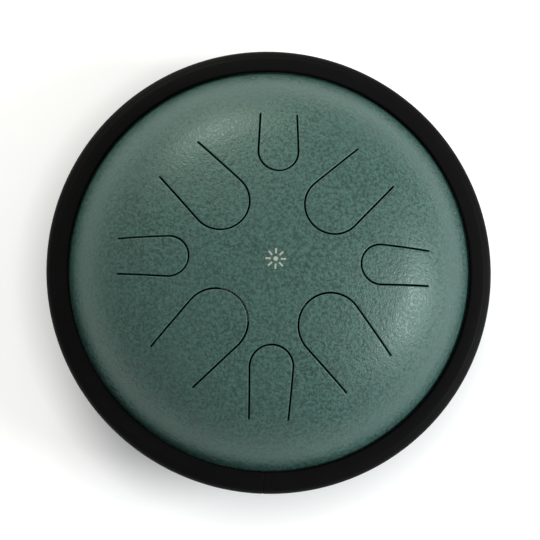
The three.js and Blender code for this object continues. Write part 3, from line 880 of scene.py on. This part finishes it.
def screw_patch(steps=72):
    """From the socket's floor out over the knurled head, in under it, and up the threaded shaft. The socket
    is a hexagon, the knurl a fine ripple round the head, and the thread a ridge that climbs as it turns."""
    angle = np.arange(steps) * 2 * math.pi / steps
    bottom = HEAD_TOP - HEAD_HEIGHT
    round_ = np.ones(steps)
    hexes = hexagon(angle, SOCKET_APOTHEM)
    knurl = 1 - KNURL_DEPTH * (0.5 + 0.5 * np.cos(angle * KNURLS))
    rows = [
        (0 * round_, bottom + SOCKET_DEPTH + 0.0003),
        (hexes, bottom + SOCKET_DEPTH),
        (hexes, bottom + 0.0002),
        (hexes + 0.0002, bottom),
        (round_ * (HEAD_RADIUS - 0.0008), bottom),
        (round_ * (HEAD_RADIUS - 0.0003), bottom + 0.00025),
        (HEAD_RADIUS * knurl, bottom + 0.0008),
        (HEAD_RADIUS * knurl, HEAD_TOP - 0.0002),
        (round_ * (HEAD_RADIUS - 0.0002), HEAD_TOP),
        (round_ * SCREW_RADIUS, HEAD_TOP),
    ]
    end = NUT_BASE + NUT_HEIGHT + SCREW_END
    climb = np.arange(HEAD_TOP + 0.002, end - 0.0004, THREAD_PITCH / 6)
    for z in climb:
        ridge = np.abs((z / THREAD_PITCH - angle / (2 * math.pi)) % 1 - 0.5) * 2
        rows.append((SCREW_RADIUS - THREAD_DEPTH * ridge, z))
    rows += [(round_ * (SCREW_RADIUS - 0.0005), end), (0 * round_, end)]
    radius = np.stack([r for r, _ in rows])
    z = np.array([z for _, z in rows])[:, None] + 0 * radius
    points = np.stack([radius * np.cos(angle), radius * np.sin(angle), z], axis=-1)
    return points.reshape(-1, 3), grid_faces(len(rows), steps, wrap_columns=True)


FASTENERS = {"washer": washer_patch(), "nut": nut_patch(), "screw": screw_patch()}
for index in FEET:
    for kind, patch in FASTENERS.items():
        piece(f"m4_{kind}_{index}", [placed(patch, station(index))], zinc, "shell",
              f"foot_{kind}_{index}", sharp=40)

# ---------------------------------------------------------------------------------------------------------
# Studio: a plain pale table, two soft windows at the rear left and the right, an even white sky, and a camera
# that looks down on the playing face from a little to the player's side and left.
# ---------------------------------------------------------------------------------------------------------


def pale_floor():
    """Matt white table with a painted glow: it emits faintly beyond the drum, so that its shadows stay pale,
    but not under the drum.
    """
    r = Finish("pale_floor")
    white = r.mix(r.noise(0.4, 2, 0.5), (0.88, 0.88, 0.88), (0.90, 0.90, 0.90))
    r.join(white, r.shader.inputs["Base Color"])
    distance = r.node("ShaderNodeVectorMath", operation="LENGTH")
    r.join(r.place, distance.inputs[0])
    # Painted glow: the emission is off within 0.14 m of the floor's origin, under the drum, and full beyond
    # 0.18 m, so the floor's shadows wash out away from the drum.
    glow = r.ramp(distance.outputs["Value"], [(0.14, 0.0), (0.18, 1.0)])
    r.join(glow, r.shader.inputs["Emission Color"])
    r.set(Roughness=0.9, Emission_Strength=0.38)
    return r.material


floor_mesh = bpy.data.meshes.new("floor")
reach = 6.0
floor_mesh.from_pydata([(-reach, -reach, 0), (reach, -reach, 0), (reach, reach, 0), (-reach, reach, 0)], [],
                       [(0, 1, 2, 3)])
floor_mesh.materials.append(pale_floor())
floor = bpy.data.objects.new("floor", floor_mesh)
bpy.context.scene.collection.objects.link(floor)
floor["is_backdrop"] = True

low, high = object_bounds()
middle = (low + high) / 2


def soft_light(name, bearing, elevation, distance, width, height, power, colour):
    """An area light that faces the drum from a bearing clockwise from +Y and an elevation, in degrees."""
    data = bpy.data.lights.new(name, "AREA")
    data.shape = "RECTANGLE"
    data.size, data.size_y = width, height
    data.energy = power
    data.color = colour
    made = bpy.data.objects.new(name, data)
    b, e = math.radians(bearing), math.radians(elevation)
    away = Vector((math.sin(b) * math.cos(e), math.cos(b) * math.cos(e), math.sin(e)))
    made.location = middle + away * distance
    made.rotation_euler = (-away).to_track_quat("-Z", "Y").to_euler()
    bpy.context.scene.collection.objects.link(made)
    return made


soft_light("rear_window", -20, 30, 1.8, 0.8, 0.6, 16, (1.0, 0.985, 0.90))
soft_light("right_window", 98, 32, 1.8, 0.7, 0.6, 26, (0.96, 0.99, 1.0))

world = bpy.data.worlds.new("studio")
bpy.context.scene.world = world
world.use_nodes = True
world.node_tree.nodes["Background"].inputs["Color"].default_value = (1.0, 1.0, 1.0, 1)
world.node_tree.nodes["Background"].inputs["Strength"].default_value = 0.42
bpy.context.scene.view_settings.view_transform = "Standard"

CAMERA_TILT_LEFT = 3.1
CAMERA_TILT_FRONT = 6.8
CAMERA_ROLL = 1.9
CAMERA_DISTANCE = 1.35
FRAME_WIDTH = 0.37

camera_data = bpy.data.cameras.new("camera")
camera_data.sensor_width = 36
camera_data.lens = 36 * CAMERA_DISTANCE / FRAME_WIDTH
camera = bpy.data.objects.new("camera", camera_data)
lean = [-math.sin(math.radians(t)) for t in (CAMERA_TILT_LEFT, CAMERA_TILT_FRONT)]
away = Vector((*lean, math.sqrt(1 - lean[0] ** 2 - lean[1] ** 2)))
target = Vector((middle.x, middle.y, SEAM_Z))
camera.location = target + away * CAMERA_DISTANCE
upward = (Vector((0, 1, 0)) - away * away.y).normalized()
facing = Matrix((upward.cross(away), upward, away)).transposed()
camera.rotation_euler = (facing @ Matrix.Rotation(math.radians(CAMERA_ROLL), 3, "Z")).to_euler()
bpy.context.scene.collection.objects.link(camera)
bpy.context.scene.camera = camera
